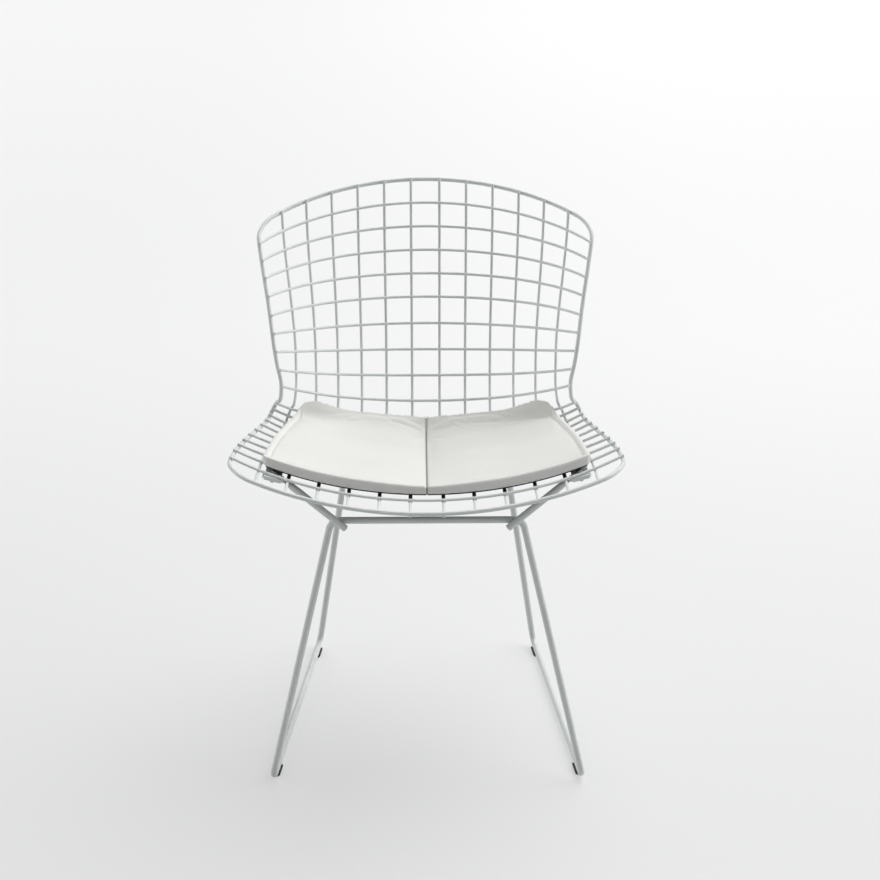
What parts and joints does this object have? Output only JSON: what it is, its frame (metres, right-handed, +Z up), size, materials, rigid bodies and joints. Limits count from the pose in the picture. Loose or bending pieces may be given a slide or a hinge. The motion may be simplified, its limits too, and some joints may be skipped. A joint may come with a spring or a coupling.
{
  "type": "wire mesh chair",
  "caption": "Side chair with a bent wire grid shell on a welded rod sled base, with a low two-panel seat pad held between the wires.",
  "frame": {"origin": "floor level under the centre of the chair's bounding box", "axes": "+X to the right as seen from the front, +Y towards the back, +Z up; the front of the seat faces -Y"},
  "size_m": [0.5546, 0.5932, 0.7612],
  "materials": {
    "frame_paint": "satin white powder coat",
    "fastener": "zinc plated",
    "pad_leather": "satin off-white",
    "pad_base": "matt black",
    "sleeve": "matt black",
    "glide": "matt black"
  },
  "bodies": {
    "root": {"cross_wire_01": "frame_paint", "cross_wire_02": "frame_paint", "cross_wire_03": "frame_paint", "cross_wire_04": "frame_paint", "cross_wire_05": "frame_paint", "cross_wire_06": "frame_paint", "cross_wire_07": "frame_paint", "cross_wire_08": "frame_paint", "cross_wire_09": "frame_paint", "cross_wire_10": "frame_paint", "cross_wire_11": "frame_paint", "cross_wire_12": "frame_paint", "cross_wire_13": "frame_paint", "cross_wire_14": "frame_paint", "cross_wire_15": "frame_paint", "cross_wire_16": "frame_paint", "cross_wire_17": "frame_paint", "cross_wire_18": "frame_paint", "cross_wire_19": "frame_paint", "cross_wire_20": "frame_paint", "front_hoop": "frame_paint", "glide_front_left": "glide", "glide_front_right": "glide", "glide_rear_left": "glide", "glide_rear_right": "glide", "lengthwise_wire_01": "frame_paint", "lengthwise_wire_02": "frame_paint", "lengthwise_wire_03": "frame_paint", "lengthwise_wire_04": "frame_paint", "lengthwise_wire_05": "frame_paint", "lengthwise_wire_06": "frame_paint", "lengthwise_wire_07": "frame_paint", "lengthwise_wire_08": "frame_paint", "lengthwise_wire_09": "frame_paint", "lengthwise_wire_10": "frame_paint", "lengthwise_wire_11": "frame_paint", "lengthwise_wire_12": "frame_paint", "mounting_nuts": "fastener", "mounting_plates": "frame_paint", "mounting_screws": "fastener", "pad_panel_left": "pad_leather", "pad_panel_right": "pad_leather", "pad_sleeves": "sleeve", "pad_underside_left": "pad_base", "pad_underside_right": "pad_base", "rear_hoop": "frame_paint", "rim": "frame_paint", "runner_left": "frame_paint", "runner_right": "frame_paint", "support_front_left": "frame_paint", "support_front_right": "frame_paint", "support_rear_left": "frame_paint", "support_rear_right": "frame_paint", "pad_edge_sleeve": "sleeve"}
  },
  "joints": []
}
